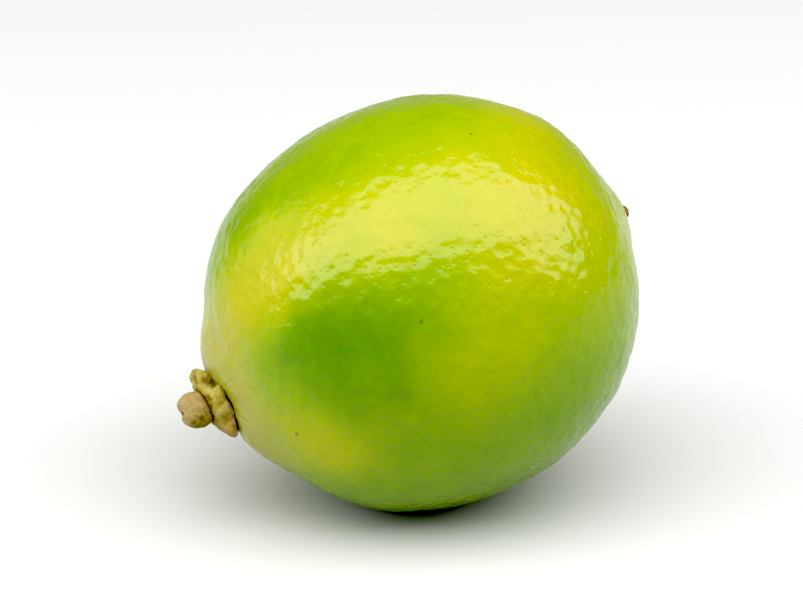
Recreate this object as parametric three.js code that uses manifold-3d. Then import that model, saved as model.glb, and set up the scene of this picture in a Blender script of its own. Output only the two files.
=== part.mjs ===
// A whole lemon that is still part green, lying on its side: the fruit, the calyx at its stem end
// and the stub of stem left on it when it was picked.
// Millimetres, +Z up. The origin is on the resting surface, under the middle of the lemon's box.
// +X points along the fruit's core towards the blossom end, which the resting fruit holds higher
// than its stem end. The fruit stands on a small flat spot under its centre of mass.

import * as THREE from "three";
import { mergeVertices } from "three/addons/utils/BufferGeometryUtils.js";
import Module from "manifold-3d";

const wasm = await Module();
wasm.setup();

// ---- driving dimensions ----

const fruitLength = 57.6; // stem end to blossom end, before the nipple is added
const fruitWidth = 54; // across the middle
const fullness = 2.1; // exponent of the outline: 2 is an ellipse, more is squarer
const restTilt = THREE.MathUtils.degToRad(21.5); // how far the blossom end is raised at rest
const flatDepth = 0.6; // how much of the roundness the resting spot takes away
const stemDroop = 0.9; // how far the stem end has grown down off the line of the core

const calyxWidth = 9.8; // over the tips of the lobes
const calyxThickness = 2.9; // of the fleshy ring
const calyxLobes = 5;
const stubWidth = 4.7; // at the swollen cut end
const stubNeck = 2.9; // where the stem comes through the calyx
const stubLength = 7.1; // from the skin to the cut
const seam = 0.3; // gap between pieces that grew together

const fruitSides = 84; // facets round the fruit
const fruitRings = 42; // facets from end to end
const calyxSides = 60;
const stubSides = 28;

// ---- skin at the two ends ----

// Height of a soft round bump of the given radius, at a distance from its centre.
function bump(distance, radius) {
  return Math.exp(-((distance / radius) ** 2));
}

// How far the skin at the stem end sinks under the calyx, and swells in a low collar round it.
const seat = { depth: 0.8, radius: 4 };
const collar = { rise: 0.6, radius: 6.6, width: 3.2 };

// How far the skin at the blossom end rises in a low nipple with a furrow round it.
const nipple = { rise: 1.2, radius: 3.8 };
const furrow = { depth: 0.15, radius: 6.4, width: 2 };

// The skin beyond the plain outline at a distance r from the core, outwards along the core.
function stemEndRise(r) {
  return (
    collar.rise * bump(r - collar.radius, collar.width) - seat.depth * bump(r, seat.radius)
  );
}

function blossomEndRise(r) {
  return (
    nipple.rise * bump(r, nipple.radius) - furrow.depth * bump(r - furrow.radius, furrow.width)
  );
}

// Half length of the plain outline at a distance r from the core.
function outlineHalf(r) {
  const share = Math.min(1, (2 * r) / fruitWidth);
  return (fruitLength / 2) * (1 - share ** fullness) ** (1 / fullness);
}

// Distance of the skin from the fruit's middle, measured along the core towards the stem.
function stemSkin(r) {
  return outlineHalf(r) + stemEndRise(r);
}

// ---- unevenness of the grown fruit ----

// Broad places where the skin is pressed in (depth over 0) or stands out (under 0). along runs
// from 0 at the stem end to 180 at the blossom end, around from 0 at the top over 90 at the front.
const presses = [
  { along: 88, around: 0, depth: 0.5, spread: 30 },
  { along: 28, around: 178, depth: 1.5, spread: 20 },
  { along: 156, around: 172, depth: 0.45, spread: 20 },
  { along: 30, around: 12, depth: -1.3, spread: 22 },
  { along: 150, around: 4, depth: -0.9, spread: 12 },
  { along: 96, around: 186, depth: -0.25, spread: 26 },
  { along: 70, around: 262, depth: 0.5, spread: 30 },
  { along: 118, around: 96, depth: 0.3, spread: 28 },
];

// A slight oval, and faint ridges where the segments inside push the skin out. Each swells the
// fruit by a share of its width, and turn sets where round the core it starts.
const oval = { swell: 0.008, turn: -0.7 };
const ribs = { swell: 0.004, count: 9, turn: 0.4 };

// Unit vector on the fruit's own globe: the core is Y, the top is +Z and the front is -X.
function globeDirection(along, around) {
  return new THREE.Vector3(
    -Math.sin(along) * Math.sin(around),
    -Math.cos(along),
    Math.sin(along) * Math.cos(around),
  );
}

function pressDepth(direction) {
  let depth = 0;
  for (const press of presses) {
    const middle = globeDirection(
      THREE.MathUtils.degToRad(press.along),
      THREE.MathUtils.degToRad(press.around),
    );
    const away = THREE.MathUtils.radToDeg(direction.angleTo(middle));
    depth += press.depth * bump(away, press.spread);
  }
  return depth;
}

// Moves each point of a smooth turned fruit to where the skin really grew.
function makeUneven(geometry) {
  const places = geometry.getAttribute("position");
  const point = new THREE.Vector3();
  for (let i = 0; i < places.count; i += 1) {
    point.fromBufferAttribute(places, i);
    const r = Math.hypot(point.x, point.z);
    const direction = point.clone().normalize();
    const around = Math.atan2(-point.x, point.z);
    const middleness = Math.min(1, (2 * r) / fruitWidth) ** 2; // nothing changes at the ends
    const swell =
      1 +
      middleness *
        (oval.swell * Math.cos(2 * around + oval.turn) +
          ribs.swell * Math.cos(ribs.count * around + ribs.turn));
    point.x *= swell;
    point.z *= swell;
    point.addScaledVector(direction, -pressDepth(direction) * Math.sqrt(middleness));
    places.setXYZ(i, point.x, point.y, point.z);
  }
}

// The stem end, with all that grows there, droops off the line of the core in a slow curve.
function droopStemEnd(geometry) {
  const places = geometry.getAttribute("position");
  for (let i = 0; i < places.count; i += 1) {
    const out = Math.max(0, -places.getY(i) / (fruitLength / 2));
    places.setZ(i, places.getZ(i) - stemDroop * out ** 4);
  }
  return geometry;
}

// ---- solids ----

// A closed geometry as a manifold-3d solid.
function solidOf(geometry) {
  const bare = geometry.clone();
  bare.deleteAttribute("normal");
  bare.deleteAttribute("uv");
  const merged = mergeVertices(bare, 1e-4);
  return new wasm.Manifold(
    new wasm.Mesh({
      numProp: 3,
      vertProperties: merged.getAttribute("position").array,
      triVerts: new Uint32Array(merged.index.array),
    }),
  );
}

function geometryOf(solid) {
  const mesh = solid.getMesh();
  const geometry = new THREE.BufferGeometry();
  geometry.setAttribute("position", new THREE.BufferAttribute(mesh.vertProperties, 3));
  geometry.setIndex(new THREE.BufferAttribute(mesh.triVerts, 1));
  geometry.computeVertexNormals();
  return geometry;
}

function named(name, geometry, material) {
  const mesh = new THREE.Mesh(geometry, material);
  mesh.name = name;
  return mesh;
}

// ---- fruit ----

// The turned outline, from the stem end's centre over the widest ring to the blossom end's.
// The core is Y, and the rings lie closer together where the ends have their details.
function fruitOutline() {
  const points = [];
  for (let i = 0; i <= fruitRings; i += 1) {
    const turn = (Math.PI * i) / fruitRings;
    const r = (fruitWidth / 2) * Math.sin(turn) ** (2 / fullness);
    const isStemHalf = turn < Math.PI / 2;
    const y = isStemHalf ? -stemSkin(r) : outlineHalf(r) + blossomEndRise(r);
    points.push(new THREE.Vector2(i === 0 || i === fruitRings ? 0 : r, y));
  }
  return points;
}

const toLying = new THREE.Matrix4()
  .makeRotationY(-restTilt)
  .multiply(new THREE.Matrix4().makeRotationZ(-Math.PI / 2));

// Height of the resting surface while the fruit's middle is still the origin.
function restingHeight(geometry) {
  const lying = geometry.clone().applyMatrix4(toLying);
  lying.computeBoundingBox();
  return lying.boundingBox.min.z + flatDepth;
}

function makeFruit(material) {
  const round = new THREE.LatheGeometry(fruitOutline(), fruitSides);
  makeUneven(round);
  droopStemEnd(round);
  const floorHeight = restingHeight(round);
  const floor = new THREE.BoxGeometry(2 * fruitLength, 2 * fruitLength, fruitWidth)
    .translate(0, 0, floorHeight - fruitWidth / 2)
    .applyMatrix4(toLying.clone().invert());
  const fruit = named("fruit", geometryOf(solidOf(round).subtract(solidOf(floor))), material);
  return { fruit, floorHeight };
}

// ---- calyx ----

const socketRadius = stubNeck / 2 + seam; // hole in the calyx that the stem comes through
const bedSteps = 3; // facets of the side that lies on the skin
const lipSteps = 6; // facets round the rolled lip
const socketHeight = 0.8; // of the ring at the stem, as a share of its thickness
const lobes = { swell: 0.13, lift: 0.14, turn: -1.75 }; // share of the ring's width and thickness
const upperSide = { swell: 0.06, lift: 0.26 }; // how much more the ring has grown on its upper side

// Section of the fleshy ring: out along the skin, half a turn round the lip and back over the top.
// Heights are measured outwards from the fruit's middle.
function calyxSection() {
  const tip = calyxWidth / 2 / (1 + lobes.swell);
  const lipRadius = calyxThickness / 2;
  const lipMiddle = tip - lipRadius;
  const bed = (r) => stemSkin(r) + seam;
  const points = [];
  for (let i = 0; i <= bedSteps; i += 1) {
    const r = THREE.MathUtils.lerp(socketRadius, lipMiddle, i / bedSteps);
    points.push(new THREE.Vector2(r, bed(r)));
  }
  for (let i = 1; i <= lipSteps; i += 1) {
    const turn = (Math.PI * i) / lipSteps;
    const rise = lipRadius * (1 - Math.cos(turn));
    points.push(new THREE.Vector2(lipMiddle + lipRadius * Math.sin(turn), bed(lipMiddle) + rise));
  }
  points.push(new THREE.Vector2(socketRadius, bed(lipMiddle) + socketHeight * calyxThickness));
  points.push(points[0].clone());
  return points;
}

// Draws the ring out into lobes. They lift off the skin a little, most of all on the upper side.
function shapeLobes(geometry) {
  const places = geometry.getAttribute("position");
  const point = new THREE.Vector3();
  const skinHeight = stemSkin(calyxWidth / 2);
  for (let i = 0; i < places.count; i += 1) {
    point.fromBufferAttribute(places, i);
    const r = Math.hypot(point.x, point.z);
    const out = THREE.MathUtils.inverseLerp(socketRadius, calyxWidth / 2, r);
    const around = Math.atan2(-point.x, point.z);
    const lobe = Math.cos(calyxLobes * around + lobes.turn);
    const upper = Math.cos(around);
    const swell = 1 + out * (lobes.swell * lobe + upperSide.swell * upper);
    const height = Math.max(0, -point.y - skinHeight);
    point.x *= swell;
    point.z *= swell;
    point.y -= out * height * (lobes.lift * lobe + upperSide.lift * upper);
    places.setXYZ(i, point.x, point.y, point.z);
  }
}

function makeCalyx(material) {
  const ring = new THREE.LatheGeometry(calyxSection(), calyxSides);
  ring.rotateX(Math.PI); // the stem end faces -Y
  shapeLobes(ring);
  return named("calyx", geometryOf(solidOf(droopStemEnd(ring))), material);
}

// ---- stem stub ----

const knobSteps = 8; // facets round the swollen end
const cut = { width: 2.2, hollow: 0.2 }; // the broken face at the end, sunk in the middle
const straightLength = 2.2; // of the stub, before it bends
const stubBend = new THREE.Vector2(-0.2, 1.9); // how far the cut end has bent, back and up

// Outline of the stub: the neck, then the knob as part of an ellipse, then the cut.
function stubSection() {
  const foot = stemSkin(0) + seam;
  const end = foot + stubLength;
  const knobRadius = stubWidth / 2;
  const knobStart = Math.asin(stubNeck / stubWidth);
  const knobEnd = Math.PI - Math.asin(cut.width / stubWidth);
  const knobMiddle = end + knobRadius * Math.cos(knobEnd);
  const points = [
    new THREE.Vector2(0, foot),
    new THREE.Vector2(stubNeck / 2, stemSkin(stubNeck / 2) + seam),
  ];
  for (let i = 0; i <= knobSteps; i += 1) {
    const turn = THREE.MathUtils.lerp(knobStart, knobEnd, i / knobSteps);
    points.push(
      new THREE.Vector2(knobRadius * Math.sin(turn), knobMiddle - knobRadius * Math.cos(turn)),
    );
  }
  points.push(new THREE.Vector2(0, end - cut.hollow));
  return points;
}

function bendStub(geometry) {
  const places = geometry.getAttribute("position");
  const start = stemSkin(0) + seam + straightLength;
  for (let i = 0; i < places.count; i += 1) {
    const past = Math.max(0, (-places.getY(i) - start) / (stubLength - straightLength));
    const share = past ** 1.5;
    places.setX(i, places.getX(i) + stubBend.x * share);
    places.setZ(i, places.getZ(i) + stubBend.y * share);
  }
}

function makeStub(material) {
  const stub = new THREE.LatheGeometry(stubSection(), stubSides);
  stub.rotateX(Math.PI);
  bendStub(stub);
  return named("stem_stub", geometryOf(solidOf(droopStemEnd(stub))), material);
}

// ---- the lemon ----

const skinFinish = new THREE.MeshStandardMaterial({
  color: 0xa9c410,
  roughness: 0.35,
  metalness: 0,
});
const calyxFinish = new THREE.MeshStandardMaterial({
  color: 0xaaa050,
  roughness: 0.6,
  metalness: 0,
});
const stubFinish = new THREE.MeshStandardMaterial({
  color: 0xa88f5a,
  roughness: 0.75,
  metalness: 0,
});

const { fruit, floorHeight } = makeFruit(skinFinish);

const grown = new THREE.Group();
grown.rotation.z = -Math.PI / 2; // the core was along Y: now it is along X, blossom end at +X
grown.add(fruit, makeCalyx(calyxFinish), makeStub(stubFinish));

const lying = new THREE.Group();
lying.rotation.y = -restTilt;
lying.add(grown);

const lemon = new THREE.Group();
lemon.add(lying);
lemon.updateMatrixWorld(true);
const box = new THREE.Box3().setFromObject(lemon, true);
lying.position.set(-(box.min.x + box.max.x) / 2, -(box.min.y + box.max.y) / 2, -floorHeight);

export default lemon;
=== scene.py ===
import math
import bpy
from mathutils import Matrix, Vector


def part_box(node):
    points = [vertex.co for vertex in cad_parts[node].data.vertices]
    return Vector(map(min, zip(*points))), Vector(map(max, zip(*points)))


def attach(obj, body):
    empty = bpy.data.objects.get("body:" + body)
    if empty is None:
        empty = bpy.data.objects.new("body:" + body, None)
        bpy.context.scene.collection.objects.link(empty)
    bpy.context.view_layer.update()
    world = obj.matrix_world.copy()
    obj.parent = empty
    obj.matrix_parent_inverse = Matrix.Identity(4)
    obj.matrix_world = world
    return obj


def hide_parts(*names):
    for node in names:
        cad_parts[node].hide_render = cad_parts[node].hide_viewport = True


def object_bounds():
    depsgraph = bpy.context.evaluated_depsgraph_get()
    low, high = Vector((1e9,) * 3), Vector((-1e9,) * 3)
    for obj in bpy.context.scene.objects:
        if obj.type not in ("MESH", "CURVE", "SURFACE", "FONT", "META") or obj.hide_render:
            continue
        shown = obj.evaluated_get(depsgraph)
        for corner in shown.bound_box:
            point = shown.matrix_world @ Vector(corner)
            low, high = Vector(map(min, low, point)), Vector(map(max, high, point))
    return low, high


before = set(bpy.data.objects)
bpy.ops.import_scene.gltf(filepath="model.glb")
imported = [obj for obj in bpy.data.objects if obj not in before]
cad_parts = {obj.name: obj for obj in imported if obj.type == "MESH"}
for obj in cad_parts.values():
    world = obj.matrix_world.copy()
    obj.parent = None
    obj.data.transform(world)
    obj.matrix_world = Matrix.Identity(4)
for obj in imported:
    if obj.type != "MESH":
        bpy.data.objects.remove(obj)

cadLow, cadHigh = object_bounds()
scene = bpy.context.scene
print("frame loaded")

# places taken from the frame
mm = 0.001
fruitLow, fruitHigh = (Vector(corner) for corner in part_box("fruit"))
fruitMiddle = (fruitLow + fruitHigh) / 2
fruitRadius = (fruitHigh.y - fruitLow.y) / 2
calyxLow, calyxHigh = (Vector(corner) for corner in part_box("calyx"))
coreTilt = math.radians(21.5)  # the blossom end is raised by this much
towardsStem = Vector((-math.cos(coreTilt), 0, -math.sin(coreTilt)))
aboveCore = Vector((-math.sin(coreTilt), 0, math.cos(coreTilt)))


def onSkin(along, around):  # degrees from the stem end, and round the core from the top to the front
    a, b = math.radians(along), math.radians(around)
    return Vector((-math.cos(a), -math.sin(a) * math.sin(b), math.sin(a) * math.cos(b))) * fruitRadius


# working by hand, in code
def selectOnly(piece):
    if bpy.context.object and bpy.context.object.mode != "OBJECT":
        bpy.ops.object.mode_set(mode="OBJECT")
    bpy.ops.object.select_all(action="DESELECT")
    piece.select_set(True)
    bpy.context.view_layer.objects.active = piece


def modify(piece, kind, **settings):
    selectOnly(piece)
    modifier = piece.modifiers.new(kind.title(), kind)
    for name, value in settings.items():
        setattr(modifier, name, value)
    bpy.ops.object.modifier_apply(modifier=modifier.name)


# raises and lowers a piece's surface by a solid pattern, in one group of its points or all over
def displace(piece, kind, size, height, group="", **settings):
    texture = bpy.data.textures.new(kind.title(), kind)
    texture.noise_scale = size
    for name, value in settings.items():
        setattr(texture, name, value)
    modify(
        piece, "DISPLACE", texture=texture, texture_coords="LOCAL", strength=height, vertex_group=group,
    )


def settle(piece):  # moves the piece's place into its mesh
    selectOnly(piece)
    bpy.ops.object.transform_apply(location=True, rotation=True, scale=True)


def editOnly(piece, kind, wanted):  # opens edit mode with just the wanted faces or points selected
    selectOnly(piece)
    bpy.ops.object.mode_set(mode="EDIT")
    bpy.ops.mesh.select_all(action="DESELECT")
    bpy.ops.mesh.select_mode(type=kind)
    bpy.ops.object.mode_set(mode="OBJECT")
    parts = piece.data.polygons if kind == "FACE" else piece.data.vertices
    for part in parts:
        part.select = wanted(part)
    bpy.ops.object.mode_set(mode="EDIT")


def shift(piece, point, move, reach):  # pulls the flesh near a point, as with proportional editing
    editOnly(piece, "VERT", lambda vertex: (vertex.co - point).length < 0.3 * reach)
    bpy.ops.transform.translate(
        value=move, use_proportional_edit=True, proportional_edit_falloff="SMOOTH",
        proportional_size=reach,
    )
    bpy.ops.object.mode_set(mode="OBJECT")


def growFromDisc(name, radius, steps, sides=24):  # steps: how far out, the new radius, how far sideways
    bpy.ops.mesh.primitive_circle_add(vertices=sides, radius=radius, fill_type="NGON")
    piece = bpy.context.object
    piece.name = name
    selectOnly(piece)
    bpy.ops.object.mode_set(mode="EDIT")
    bpy.ops.mesh.select_all(action="SELECT")
    for length, width, *aside in steps:
        move = (*(aside[0] if aside else (0, 0)), length)
        bpy.ops.mesh.extrude_region_move(TRANSFORM_OT_translate={"value": move})
        bpy.ops.transform.resize(value=(width / radius, width / radius, 1))
        radius = width
    bpy.ops.mesh.select_all(action="SELECT")
    bpy.ops.mesh.normals_make_consistent(inside=False)
    bpy.ops.object.mode_set(mode="OBJECT")
    return piece


# camera
camera = {"azimuth": -13, "elevation": 22, "distance": 0.45, "lens": 152, "aim": (-0.0006, 0, 0.0003)}


def makeCamera():
    a, e = math.radians(camera["azimuth"]), math.radians(camera["elevation"])
    back = Vector((math.sin(a) * math.cos(e), -math.cos(a) * math.cos(e), math.sin(e)))
    aim = (Vector(cadLow) + Vector(cadHigh)) / 2 + Vector(camera["aim"])
    bpy.ops.object.camera_add(location=aim + back * camera["distance"])
    eye = bpy.context.object
    eye.name = "camera"
    eye.rotation_mode = "QUATERNION"
    eye.rotation_quaternion = back.to_track_quat("Z", "Y")
    eye.data.lens = camera["lens"]
    eye.data.clip_start, eye.data.clip_end = 0.01, 20
    scene.camera = eye
    print("camera placed")


# film, floor and lights
# what is darker than the deepest grey prints black, which keeps the greens clean
film = {"deepestGrey": 0.048, "exposure": 0.06}


def setFilm():
    view = scene.view_settings
    view.view_transform = "Standard"
    view.exposure = film["exposure"]
    view.use_curve_mapping = True
    view.curve_mapping.black_level = (film["deepestGrey"],) * 3
    view.curve_mapping.update()


studio = {
    "floorSize": 8, "floorColour": (0.62, 0.62, 0.615),
    "boxHeight": 0.8, "boxLength": 5.6, "boxFront": -0.83, "boxBack": 0.14, "boxTurn": -5,
    "boxBrightness": 3.12,  # radiance, where a white card in full light is about 1
    "cardPlace": (-1.35, 0.4, 0.62), "cardSize": (1.3, 1.2), "cardBrightness": 0.9,
    "surround": 0.34,
}


def makeLight(name, place, away, size, brightness):
    bpy.ops.object.light_add(type="AREA", location=place)
    light = bpy.context.object
    light.name = name
    light.rotation_mode = "QUATERNION"
    light.rotation_quaternion = Vector(away).to_track_quat("Z", "Y")
    light.data.shape = "RECTANGLE"
    light.data.size, light.data.size_y = size
    light.data.energy = brightness * math.pi * size[0] * size[1]


def makeStudio():
    bpy.ops.mesh.primitive_plane_add(size=studio["floorSize"])
    floor = bpy.context.object
    floor.name = "floor"
    paint = bpy.data.materials.new("floorPaint")
    paint.use_nodes = True
    shader = paint.node_tree.nodes["Principled BSDF"]
    shader.inputs["Base Color"].default_value = (*studio["floorColour"], 1)
    shader.inputs["Roughness"].default_value = 0.7
    shader.inputs["Specular IOR Level"].default_value = 0.1
    floor.data.materials.append(paint)

    front, back = studio["boxFront"], studio["boxBack"]
    overhead = (0, (front + back) / 2, studio["boxHeight"])
    size = (studio["boxLength"], back - front)
    makeLight("overheadSoftbox", overhead, (0, 0, 1), size, studio["boxBrightness"])
    turn = Matrix.Rotation(math.radians(studio["boxTurn"]), 4, "Z")
    bpy.context.object.rotation_quaternion = turn.to_quaternion()
    place = Vector(studio["cardPlace"])
    away = place - fruitMiddle
    makeLight("sideCard", place, away, studio["cardSize"], studio["cardBrightness"])

    scene.world = bpy.data.worlds.new("surround")
    scene.world.use_nodes = True
    background = scene.world.node_tree.nodes["Background"]
    background.inputs["Color"].default_value = (1, 1, 1, 1)
    background.inputs["Strength"].default_value = studio["surround"]
    print("studio lit")


makeCamera()
setFilm()
makeStudio()


# building finishes from nodes
class Finish:
    def __init__(self, name, roughness, shine):
        self.material = bpy.data.materials.new(name)
        self.material.use_nodes = True
        self.tree = self.material.node_tree
        self.shader = self.tree.nodes["Principled BSDF"]
        self.shader.inputs["Roughness"].default_value = roughness
        self.shader.inputs["Specular IOR Level"].default_value = shine

    def feed(self, socket, value):
        if isinstance(value, bpy.types.NodeSocket):
            self.tree.links.new(value, socket)
        else:
            socket.default_value = value

    def node(self, kind, values=(), **settings):  # values: input name or number, and what feeds it
        node = self.tree.nodes.new("ShaderNode" + kind)
        for name, value in settings.items():
            setattr(node, name, value)
        for name, value in dict(values).items():
            self.feed(node.inputs[name], value)
        return node

    def calculate(self, operation, first, second=0.0, third=0.0):
        return self.node("Math", {0: first, 1: second, 2: third}, operation=operation).outputs[0]

    def addTo(self, total, more, share=1.0):
        return self.calculate("MULTIPLY_ADD", more, share, total)

    def vector(self, operation, first, second=(0, 0, 0)):
        return self.node("VectorMath", {0: first, 1: second}, operation=operation).outputs[0]

    def scaled(self, first, amount):
        return self.node("VectorMath", {0: first, "Scale": amount}, operation="SCALE").outputs[0]

    def place(self, location, rotation=(0, 0, 0), scale=(1, 1, 1)):  # object coordinates about a point
        local = self.node("TexCoord").outputs["Object"]
        values = {"Vector": local, "Location": location, "Rotation": rotation, "Scale": scale}
        return self.node("Mapping", values, vector_type="TEXTURE").outputs[0]

    def noise(self, place, size, detail=2, roughness=0.5, output="Fac"):
        values = {"Vector": place, "Scale": 1 / size, "Detail": detail, "Roughness": roughness}
        return self.node("TexNoise", values).outputs[output]

    def cells(self, place, size, output="Distance", feature="F1"):
        values = {"Vector": place, "Scale": 1 / size}
        return self.node("TexVoronoi", values, feature=feature).outputs[output]

    def fade(self, value, low, high, newLow=0.0, newHigh=1.0):  # smooth step from low to high
        values = {0: value, 1: low, 2: high, 3: newLow, 4: newHigh}
        return self.node("MapRange", values, interpolation_type="SMOOTHSTEP").outputs[0]

    def near(self, place, point, reach, strength=1.0):  # strength at the point, fading to 0 at reach
        away = self.node("VectorMath", {0: place, 1: point}, operation="DISTANCE").outputs["Value"]
        return self.fade(away, 0.0, reach, strength, 0.0)

    def ramp(self, value, stops):
        node = self.node("ValToRGB", {"Fac": value})
        elements = node.color_ramp.elements
        while len(elements) < len(stops):
            elements.new(1)
        for element, (at, colour) in zip(elements, stops):
            element.position, element.color = at, (*colour, 1)
        return node.outputs["Color"]

    def mix(self, share, first, second, blend="MIX"):
        first, second = ((*c, 1) if isinstance(c, tuple) else c for c in (first, second))
        values = {0: share, 6: first, 7: second}
        return self.node("Mix", values, data_type="RGBA", blend_type=blend).outputs[2]

    def spot(self, colour, place, point, reach, strength, most, paint):  # a soft-edged spot of another colour
        share = self.calculate("MINIMUM", self.near(place, point, reach, strength), most)
        return self.mix(share, colour, paint)

    def colour(self, value):
        self.feed(self.shader.inputs["Base Color"], value)

    def bump(self, height, depth):
        values = {"Height": height, "Distance": depth, "Strength": 1.0}
        self.feed(self.shader.inputs["Normal"], self.node("Bump", values).outputs[0])


# skin of the fruit
skin = {
    "lumpSize": 11 * mm, "lumpHeight": 0.45 * mm,
    "rippleSize": 3 * mm, "rippleHeight": 0.17 * mm,
    "glandSize": 1.5 * mm, "glandDepth": 0.13 * mm,
    "poreSize": 0.8 * mm, "poreDepth": 0.03 * mm,
    "roughness": 0.225, "shine": 0.5,
    # the skin swells round the calyx: degrees round the stem (0 is up, 90 the back), distance,
    # rise and reach
    "collar": [
        (25, 5.6 * mm, 0.9 * mm, 6 * mm), (115, 4.4 * mm, 1.0 * mm, 7 * mm),
        (205, 6.5 * mm, 0.45 * mm, 6.5 * mm), (325, 6.0 * mm, 0.35 * mm, 4 * mm),
    ],
    "wrinkleSize": 1.3 * mm, "wrinkleHeight": 0.4 * mm, "wrinkleReach": 11 * mm,
    "colours": [  # from unripe to ripe
        (0.0, (0.08, 0.205, 0.001)), (0.25, (0.125, 0.25, 0.001)), (0.5, (0.2, 0.31, 0.001)),
        (0.75, (0.30, 0.355, 0.001)), (1.0, (0.39, 0.37, 0.002)),
    ],
    "ripeness": 0.36,
    "straw": (0.34, 0.31, 0.07), "strawReach": 18 * mm,
    # tiny dark specks: degrees along, degrees round, size in mm
    "specks": [
        (84, 70, 0.3), (37, 96, 0.35), (120, 20, 0.22), (100, 200, 0.35), (60, 300, 0.28), (140, 130, 0.25),
    ],
    "speckColour": (0.12, 0.10, 0.01), "glandColour": (0.1, 0.3, 0.0),
    # where it has ripened more or less: degrees along from the stem end, degrees round from the
    # top to the front, reach in mm, and how much
    "patches": [
        (0, 0, 20, 0.5), (32, 8, 9, -0.2),
        (34, 28, 14, 0.6), (58, 33, 13, 0.5), (84, 36, 14, 0.45), (112, 44, 20, 0.45),
        (132, 68, 22, 0.35), (146, 30, 20, 0.3), (138, -12, 16, 0.35), (95, -8, 22, 0.2), (60, -10, 16, 0.08),
        (34, 100, 13, 0.3), (48, 96, 11, 0.3), (94, 90, 14, 0.3), (160, 90, 18, 0.05),
        (57, 70, 13, -0.3), (50, 48, 8, 0.2), (76, 76, 10, -0.04), (108, 122, 20, -0.04),
        (60, 250, 22, 0.4), (110, 210, 20, 0.25), (95, 290, 18, -0.3), (60, 180, 16, -0.3),
        (135, 250, 16, -0.25), (170, 180, 20, 0.3),
    ],
}


def mergedCopy(node):
    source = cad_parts[node]
    copy = source.copy()
    copy.data = source.data.copy()
    bpy.context.collection.objects.link(copy)
    selectOnly(copy)
    bpy.ops.object.mode_set(mode="EDIT")
    bpy.ops.mesh.select_all(action="SELECT")
    bpy.ops.mesh.remove_doubles(threshold=1e-6)
    bpy.ops.object.mode_set(mode="OBJECT")
    return copy


def makePeel():
    grown = mergedCopy("fruit")
    bpy.ops.mesh.primitive_cube_add(size=2 * fruitRadius, location=fruitMiddle)
    peel = bpy.context.object
    peel.name = "lemonPeel"
    modify(peel, "SUBSURF", levels=5, render_levels=5)
    modify(peel, "CAST", factor=1, radius=1.08 * fruitRadius)
    settle(peel)
    modify(peel, "SHRINKWRAP", target=grown, wrap_method="NEAREST_SURFACEPOINT")
    modify(peel, "SMOOTH", factor=0.5, iterations=4)
    modify(peel, "SUBSURF", levels=2, render_levels=2)
    bpy.data.objects.remove(grown)
    displace(peel, "CLOUDS", skin["lumpSize"], skin["lumpHeight"], noise_depth=1)
    displace(peel, "CLOUDS", skin["rippleSize"], skin["rippleHeight"], noise_depth=2)
    displace(peel, "VORONOI", skin["glandSize"], skin["glandDepth"], noise_intensity=1.4)
    for place, distance, rise, reach in skin["collar"]:
        a = math.radians(place)
        foot = atStem(0) @ (Vector((math.cos(a), math.sin(a), 0)) * distance)
        shift(peel, foot, towardsStem * rise, reach)
    stemEnd = peel.vertex_groups.new(name="stemEnd")
    for vertex in peel.data.vertices:
        away = (vertex.co - atStem(0).translation).length / skin["wrinkleReach"]
        if away < 1:
            stemEnd.add([vertex.index], 1 - away, "REPLACE")
    displace(peel, "CLOUDS", skin["wrinkleSize"], skin["wrinkleHeight"], "stemEnd", noise_depth=1)
    editOnly(peel, "VERT", lambda vertex: vertex.co.z < 0)
    bpy.ops.transform.resize(value=(1, 1, 0), center_override=(0, 0, 0))  # pressed flat on the floor
    selectOnly(peel)
    bpy.ops.object.shade_smooth()
    print("peel made,", len(peel.data.polygons), "faces")
    return peel


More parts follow.
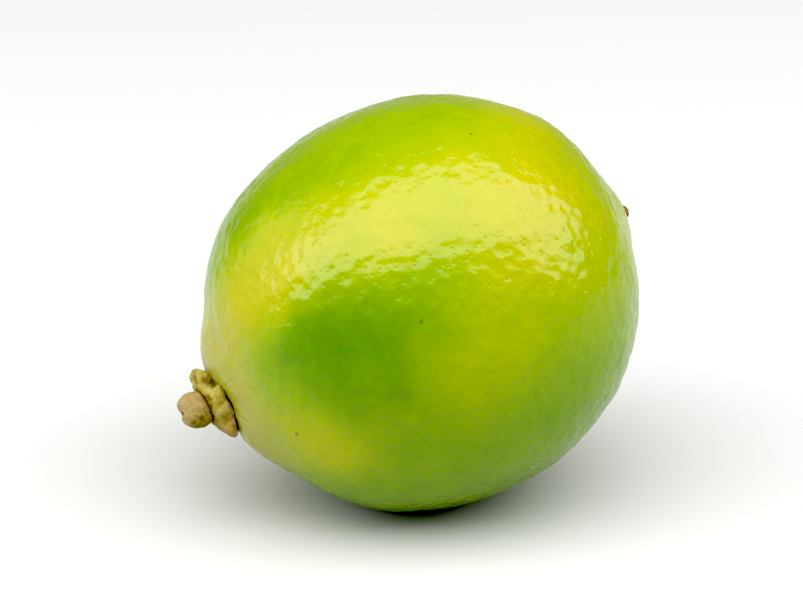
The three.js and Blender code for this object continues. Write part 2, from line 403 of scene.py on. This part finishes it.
def makeSkinFinish():
    finish = Finish("citrusSkin", skin["roughness"], skin["shine"])
    # core: +X runs along the core to the blossom end
    core = finish.place(fruitMiddle, rotation=(0, -coreTilt, 0))
    drift = finish.vector("SUBTRACT", finish.noise(core, 14 * mm, output="Color"), (0.5, 0.5, 0.5))
    wandering = finish.vector("ADD", core, finish.scaled(drift, 9 * mm))

    ripe = skin["ripeness"]
    for along, around, reach, strength in skin["patches"]:
        ripe = finish.addTo(ripe, finish.near(wandering, onSkin(along, around), reach * mm, strength))
    mottle = finish.noise(core, 5 * mm, detail=4, roughness=0.6)
    ripe = finish.addTo(ripe, finish.calculate("SUBTRACT", mottle, 0.5), 0.35)
    colour = finish.ramp(ripe, skin["colours"])

    glands = finish.cells(core, skin["poreSize"])
    colour = finish.mix(finish.fade(glands, 0.1, 0.4, 0.16, 0.0), colour, skin["glandColour"])

    # straw-coloured skin with creases that run out from the calyx
    foot = atStem(0).translation - fruitMiddle
    stemSpot = Vector((-foot.dot(towardsStem), foot.y, foot.dot(aboveCore)))
    waver = finish.scaled(finish.noise(core, 3 * mm, output="Color"), 0.8 * mm)
    wavering = finish.vector("ADD", core, waver)
    fromStem = finish.vector("SUBTRACT", wavering, stemSpot + Vector((0.4 * mm,) * 3))
    ray = finish.vector("NORMALIZE", finish.vector("MULTIPLY", fromStem, (0, 1, 1)))
    streaks = finish.noise(ray, 0.16, detail=3, roughness=0.6)
    stemEnd = finish.near(core, stemSpot, skin["strawReach"], 1.5)
    straw = finish.calculate("MULTIPLY", stemEnd, finish.fade(streaks, 0.25, 0.6, 0.25, 1.0))
    colour = finish.mix(finish.calculate("MINIMUM", straw, 0.74), colour, skin["straw"])

    evened = finish.scaled(finish.vector("NORMALIZE", core), fruitRadius)
    for along, around, reach in skin["specks"]:
        colour = finish.spot(
            colour, evened, onSkin(along, around), reach * mm, 3, 0.75, skin["speckColour"],
        )
    finish.colour(colour)
    creases = finish.calculate("MULTIPLY", finish.fade(streaks, 0.35, 0.65), stemEnd)
    height = finish.addTo(finish.fade(glands, 0.0, 0.5), creases, 2.0)
    finish.bump(height, skin["poreDepth"])
    return finish.material


# pieces at the stem end
def atStem(height):  # a frame with +Z out of the calyx, +X up and +Y to the back, this far out
    turn = Matrix((aboveCore, Vector((0, 1, 0)), towardsStem)).transposed()
    a = math.radians(calyx["leansTo"])
    side = Vector((math.cos(a), math.sin(a), 0))
    lean = Matrix.Rotation(math.radians(calyx["lean"]), 3, Vector((0, 0, 1)).cross(side))
    seat = calyxFoot + turn @ (side * calyx["aside"]) + turn @ lean @ Vector((0, 0, height))
    return Matrix.Translation(seat) @ (turn @ lean).to_4x4()


calyx = {
    "foot": -1.5 * mm,  # from the middle of the calyx's box inwards to the skin
    "leansTo": -65, "lean": 12, "aside": 2.4 * mm,  # it sits a little to the front and leans there
    "footRadius": 2.9 * mm,
    "steps": [  # how far out, and the radius there
        (0.55 * mm, 3.2 * mm), (0.25 * mm, 4.0 * mm), (0.2 * mm, 4.5 * mm), (0.35 * mm, 4.7 * mm),
        (0.4 * mm, 4.5 * mm), (0.45 * mm, 4.0 * mm), (0.45 * mm, 3.4 * mm), (0.4 * mm, 2.8 * mm),
        (0.15 * mm, 2.3 * mm), (-0.2 * mm, 1.9 * mm), (-0.5 * mm, 1.4 * mm),
    ],
    "rimRadius": 4.4 * mm, "rimHeight": 1.5 * mm,
    # where each lobe stands round the stem (0 is up, 90 the back), how far it reaches out and
    # lifts, and how much of the flesh moves with it
    "lobes": [
        (25, 0.7 * mm, 1.1 * mm, 3.4 * mm), (97, 0.3 * mm, 0.5 * mm, 2.6 * mm),
        (160, 0.3 * mm, 0.1 * mm, 2.4 * mm), (215, 0.5 * mm, 0, 2.6 * mm),
        (298, 0.25 * mm, 0.2 * mm, 2.2 * mm),
    ],
    # notches between the lobes: place, how far in, how far down, reach
    "notches": [
        (62, -1.1 * mm, -0.5 * mm, 1.5 * mm), (130, -1.0 * mm, -0.3 * mm, 1.4 * mm),
        (186, -0.8 * mm, -0.3 * mm, 1.3 * mm), (256, -1.1 * mm, -0.3 * mm, 1.5 * mm),
        (338, -1.3 * mm, -0.6 * mm, 1.5 * mm),
    ],
    # painted shade in the crevices between the lobes, as dark spots at these points
    "creviceShadeSpots": [(3.7 * mm, -1.5 * mm, 1.5 * mm), (1.6 * mm, 3.6 * mm, 1.3 * mm)],
    # the first colour is painted crevice shade; golden brown and the dried edge are the calyx's own colours
    "creviceShade": (0.07, 0.045, 0.006), "goldenBrown": (0.29, 0.16, 0.02), "driedEdge": (0.43, 0.29, 0.18),
    "wrinkleSize": 1.1 * mm, "wrinkleHeight": 0.4 * mm,
    "roughness": 0.5, "shine": 0.4,
}
calyxFoot = (calyxLow + calyxHigh) / 2 + towardsStem * calyx["foot"]


def makeCalyx():
    ring = growFromDisc("calyxRing", calyx["footRadius"], calyx["steps"], sides=48)
    for place, out, lift, reach in calyx["lobes"] + calyx["notches"]:
        a = math.radians(place)
        outward = Vector((math.cos(a), math.sin(a), 0))
        rim = outward * calyx["rimRadius"] + Vector((0, 0, calyx["rimHeight"]))
        shift(ring, rim, outward * out + Vector((0, 0, lift)), reach)
    modify(ring, "SUBSURF", levels=2, render_levels=2)
    displace(ring, "CLOUDS", calyx["wrinkleSize"], calyx["wrinkleHeight"], noise_depth=1)
    displace(ring, "CLOUDS", calyx["wrinkleSize"] / 3, calyx["wrinkleHeight"] / 3, noise_depth=1)
    ring.matrix_world = atStem(0)
    settle(ring)
    bpy.ops.object.shade_smooth()
    print("calyx made,", len(ring.data.polygons), "faces")
    return ring


def makeCalyxFinish():
    finish = Finish("calyxFlesh", calyx["roughness"], calyx["shine"])
    turned = finish.place(atStem(0).translation, rotation=atStem(0).to_euler())
    parts = finish.node("SeparateXYZ", {0: turned}).outputs
    up, height = parts["X"], parts["Z"]
    flesh = finish.ramp(finish.noise(turned, 1.6 * mm, detail=4, roughness=0.6), [
        (0.33, (0.13, 0.09, 0.008)), (0.48, (0.33, 0.26, 0.035)), (0.66, (0.44, 0.38, 0.12)),
    ])
    golden = finish.fade(up, 0.5 * mm, -4 * mm, 0.0, 0.6)  # browner towards the lower lobes
    flesh = finish.mix(golden, flesh, calyx["goldenBrown"])
    dried = finish.noise(turned, 0.8 * mm, detail=3)
    low = finish.fade(height, 1.7 * mm, 1.1 * mm)
    edge = finish.calculate("MULTIPLY", low, finish.fade(dried, 0.38, 0.6))
    flesh = finish.mix(edge, flesh, calyx["driedEdge"])
    # painted shade: very dark near the calyx's foot, where the rim lifts off the skin
    shadeUnderRim = finish.fade(height, 0.9 * mm, 0.3 * mm, 0.0, 0.9)
    flesh = finish.mix(shadeUnderRim, flesh, (0.06, 0.04, 0.006))
    # painted shade: darker in the calyx's cup round the stem stub
    middle = finish.vector("MULTIPLY", turned, (1, 1, 0))
    flesh = finish.spot(flesh, middle, (0, 0, 0), 3.5 * mm, 1.6, 0.85, (0.11, 0.07, 0.006))
    # painted shade spots in the crevices between the lobes
    for hollow in calyx["creviceShadeSpots"]:
        flesh = finish.spot(flesh, turned, hollow, 1.2 * mm, 1.6, 0.85, calyx["creviceShade"])
    spots = finish.cells(turned, 1.1 * mm)
    flesh = finish.mix(finish.fade(spots, 0.16, 0.06, 0.0, 0.7), flesh, (0.08, 0.045, 0.012))
    finish.colour(flesh)
    finish.bump(finish.noise(turned, 0.45 * mm, detail=4), 0.2 * mm)
    return finish.material


stub = {
    "seat": 2.1 * mm, "seatRadius": 1.9 * mm,
    "steps": [  # how far out, the radius there, and how far up and back
        (1.0 * mm, 1.95 * mm, (0.2 * mm, 0)), (0.22 * mm, 2.2 * mm),
        (0.4 * mm, 2.4 * mm, (0.1 * mm, 0)),
        (0.85 * mm, 2.5 * mm, (0.1 * mm, 0.1 * mm)), (0.85 * mm, 2.42 * mm), (0.65 * mm, 2.15 * mm),
        (0.35 * mm, 1.7 * mm), (0.12 * mm, 1.4 * mm), (-0.15 * mm, 1.15 * mm), (-0.05 * mm, 0.5 * mm),
        (-0.2 * mm, 0.3 * mm),
    ],
    "length": 4.44 * mm,
    "lumpSize": 1.7 * mm, "lumpHeight": 0.55 * mm, "grainSize": 0.5 * mm, "grainHeight": 0.14 * mm,
    # the tan is partly the stub's own colour and partly painted light on its top
    "tanAndTopLight": (0.38, 0.27, 0.12), "cutEnd": (0.36, 0.27, 0.12), "shadow": (0.12, 0.08, 0.015),
    "roughness": 0.6, "shine": 0.3,
}


def makeStub():
    stem = growFromDisc("stemStub", stub["seatRadius"], stub["steps"])
    modify(stem, "SUBSURF", levels=3, render_levels=3)
    displace(stem, "CLOUDS", stub["lumpSize"], stub["lumpHeight"], noise_depth=1)
    displace(stem, "CLOUDS", stub["grainSize"], stub["grainHeight"], noise_depth=2)
    stem.matrix_world = atStem(stub["seat"])
    settle(stem)
    bpy.ops.object.shade_smooth()
    print("stub made,", len(stem.data.polygons), "faces")
    return stem


def makeStubFinish():
    finish = Finish("stubBark", stub["roughness"], stub["shine"])
    turned = finish.place(atStem(0).translation, rotation=atStem(0).to_euler())
    parts = finish.node("SeparateXYZ", {0: turned}).outputs
    up, height = parts["X"], parts["Z"]
    end = stub["seat"] + stub["length"]
    grain = finish.noise(turned, 0.9 * mm, detail=4, roughness=0.6)
    bark = finish.ramp(grain, [
        (0.34, (0.09, 0.06, 0.006)), (0.5, (0.28, 0.22, 0.03)), (0.66, (0.42, 0.34, 0.09)),
    ])
    # paler tan over the top: partly the stub's own tan, partly painted light falling from above
    tanAndTopLight = finish.fade(finish.addTo(up, grain, 2.5 * mm), 0.8 * mm, 2.8 * mm)
    bark = finish.mix(finish.calculate("MULTIPLY", tanAndTopLight, 0.8), bark, stub["tanAndTopLight"])
    cut = finish.fade(height, end - 0.7 * mm, end - 0.1 * mm, 0.0, 0.7)
    bark = finish.mix(cut, bark, stub["cutEnd"])
    low = finish.fade(up, -0.5 * mm, -1.9 * mm)
    low = finish.calculate("MULTIPLY", low, finish.fade(grain, 0.35, 0.6))
    bark = finish.mix(low, bark, stub["shadow"])
    # painted shade where the stub meets the calyx
    shadeAtStubFoot = finish.fade(height, stub["seat"] + 1.7 * mm, stub["seat"] + 1.0 * mm, 0.0, 0.9)
    bark = finish.mix(shadeAtStubFoot, bark, (0.10, 0.06, 0.006))
    pith = (0.4 * mm, 0.1 * mm, end)
    bark = finish.spot(bark, turned, pith, 0.9 * mm, 1.6, 0.9, (0.09, 0.05, 0.02))
    finish.colour(bark)
    finish.bump(finish.noise(turned, 0.4 * mm, detail=4), 0.2 * mm)
    return finish.material


# scar at the blossom end
scar = {
    "footRadius": 0.9 * mm, "sunk": 0.25 * mm, "forward": 0.7 * mm,
    "steps": [
        (0.3 * mm, 0.88 * mm), (0.25 * mm, 0.74 * mm, (0.08 * mm, 0)), (0.15 * mm, 0.5 * mm),
        (-0.1 * mm, 0.25 * mm),
    ],
    "roughness": 0.7, "shine": 0.3,
}


def makeScar(peel):
    towardsBlossom = -towardsStem
    tip = max((vertex.co for vertex in peel.data.vertices), key=towardsBlossom.dot).copy()
    turn = Matrix((aboveCore, Vector((0, -1, 0)), towardsBlossom)).transposed().to_4x4()
    scab = growFromDisc("blossomScar", scar["footRadius"], scar["steps"], sides=16)
    modify(scab, "SUBSURF", levels=3, render_levels=3)
    displace(scab, "CLOUDS", 0.5 * mm, 0.25 * mm, noise_depth=2)
    tip -= towardsBlossom * scar["sunk"] + Vector((0, scar["forward"], 0))
    scab.matrix_world = Matrix.Translation(tip) @ turn
    settle(scab)
    bpy.ops.object.shade_smooth()
    print("scar made,", len(scab.data.polygons), "faces")
    return scab, tip


def makeScarFinish(tip):
    finish = Finish("scarBark", scar["roughness"], scar["shine"])
    turned = finish.place(tip)
    bark = finish.ramp(finish.noise(turned, 0.4 * mm, detail=3), [
        (0.35, (0.07, 0.03, 0.008)), (0.5, (0.17, 0.08, 0.02)), (0.65, (0.38, 0.24, 0.09)),
    ])
    finish.colour(bark)
    finish.bump(finish.noise(turned, 0.2 * mm, detail=2), 0.08 * mm)
    return finish.material


# what every finished piece gets
def hand(piece, finish, node=None):
    piece.data.materials.clear()
    piece.data.materials.append(finish)
    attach(piece, "root")
    if node:
        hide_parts(node)


peel = makePeel()
hand(peel, makeSkinFinish(), "fruit")
scab, blossomTip = makeScar(peel)
hand(scab, makeScarFinish(blossomTip))
hand(makeCalyx(), makeCalyxFinish(), "calyx")
hand(makeStub(), makeStubFinish(), "stem_stub")
